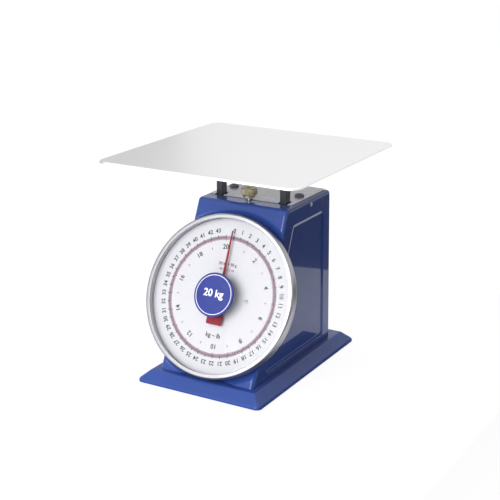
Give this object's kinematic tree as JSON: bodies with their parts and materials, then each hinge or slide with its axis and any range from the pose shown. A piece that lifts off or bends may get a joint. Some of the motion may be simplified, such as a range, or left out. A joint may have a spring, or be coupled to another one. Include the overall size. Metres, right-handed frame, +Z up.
{
  "type": "mechanical dial platform scale",
  "caption": "Spring platform scale: square steel pan on two posts, sloping sheet-metal housing on a tray base, large leaning round dial with a red pointer.",
  "frame": {"origin": "on the floor under the middle of the square pan", "axes": "+Z up, -Y towards the reader in front of the dial, +X to that reader's right"},
  "size_m": [0.28, 0.28, 0.2873],
  "materials": {
    "blue_paint": "glossy enamel",
    "steel": "plain machined",
    "black_paint": "satin black enamel",
    "rubber": "matt",
    "stainless": "satin stainless",
    "chrome": "polished",
    "brass": "plain machined",
    "dial_white": "printed white enamel",
    "lens_clear": "clear moulded dome",
    "badge_blue": "printed disc",
    "pointer_red": "painted",
    "grey_plastic": "moulded",
    "grey_enamel": "pale grey enamel"
  },
  "bodies": {
    "housing": {"base_tray": "blue_paint", "foot_front_left": "rubber", "foot_front_right": "rubber", "foot_rear_left": "rubber", "foot_rear_right": "rubber", "housing_shell": "blue_paint", "back_cover": "blue_paint", "cover_screw_lower_left": "steel", "cover_screw_lower_right": "steel", "cover_screw_upper_left": "steel", "cover_screw_upper_right": "steel", "side_screw_left": "steel", "side_screw_right": "steel", "top_cover": "grey_enamel", "top_plug_left": "grey_plastic", "top_plug_right": "grey_plastic", "chassis_frame": "black_paint", "upper_guide_pin": "steel", "lower_guide_pin": "steel", "damper_cylinder": "steel", "damper_cap": "brass", "dial_case": "dial_white", "dial_plate": "dial_white", "dial_screw_left": "steel", "dial_screw_right": "steel", "bezel": "chrome", "lens": "lens_clear", "badge": "badge_blue", "front_bearing_plate": "brass", "rear_bearing_plate": "brass", "pillar_upper_left": "brass", "pillar_upper_right": "brass", "pillar_lower_left": "brass", "pillar_lower_right": "brass", "rack_keeper": "brass"},
    "zero_adjuster": {"zero_screw": "steel", "zero_knob": "brass"},
    "hanger": {"spring_hanger": "steel", "main_spring_left": "steel", "main_spring_right": "steel"},
    "carrier": {"lower_crossbar": "black_paint", "upper_crossbar": "black_paint", "rack_crossbar": "black_paint", "post_left": "black_paint", "post_right": "black_paint", "pan_spider": "black_paint", "rack_arm": "steel", "upper_link_pin": "steel", "lower_link_pin": "steel", "damper_piston": "steel"},
    "pan_body": {"pan": "stainless"},
    "upper_arm": {"upper_guide_arm": "steel"},
    "lower_arm": {"lower_guide_arm": "steel"},
    "rack_body": {"rack": "steel"},
    "pointer_shaft": {"pointer": "pointer_red", "pointer_hub": "brass", "pointer_nut": "brass", "pointer_arbor": "steel", "pinion": "brass"}
  },
  "joints": [
    {"name": "load_travel", "type": "slide", "parent": "housing", "child": "carrier", "axis": [0, 0, -1], "range_m": [0, 0.01968], "stiffness_N_per_m": 9967, "springref_m": -0.0018, "deforming": ["main_spring_left", "main_spring_right"]},
    {"name": "pan_lift", "type": "slide", "parent": "carrier", "child": "pan_body", "axis": [0, 0, 1], "range_m": [0, 0.06]},
    {"name": "pointer_spin", "type": "hinge", "parent": "housing", "child": "pointer_shaft", "pos_m": [0, -0.06979, 0.11342], "axis": [0, 0.9135, -0.4067], "range_deg": [0, 353]},
    {"name": "rack_slide", "type": "slide", "parent": "housing", "child": "rack_body", "axis": [0, -0.4067, -0.9135], "range_m": [0, 0.02165]},
    {"name": "upper_arm_pivot", "type": "hinge", "parent": "housing", "child": "upper_arm", "pos_m": [0, 0.075, 0.15516], "axis": [1, 0, 0], "range_deg": [0, 24.77]},
    {"name": "lower_arm_pivot", "type": "hinge", "parent": "housing", "child": "lower_arm", "pos_m": [0, 0.075, 0.07416], "axis": [1, 0, 0], "range_deg": [0, 24.77]},
    {"name": "zero_knob_turn", "type": "hinge", "parent": "housing", "child": "zero_adjuster", "pos_m": [0, -0.003, 0.206], "axis": [0, 0, 1], "range_deg": [-362, 362]},
    {"name": "hanger_lift", "type": "slide", "parent": "housing", "child": "hanger", "axis": [0, 0, 1], "range_m": [-0.001, 0.001]}
  ],
  "couplings": [
    {"joint": "pointer_spin", "follows": "load_travel", "rad_per_m": 312.75},
    {"joint": "rack_slide", "follows": "load_travel", "ratio": 1.0946},
    {"joint": "upper_arm_pivot", "follows": "load_travel", "rad_per_m": 21.878},
    {"joint": "lower_arm_pivot", "follows": "load_travel", "rad_per_m": 21.878},
    {"joint": "zero_knob_turn", "follows": "hanger_lift", "rad_per_m": 6283.2}
  ]
}
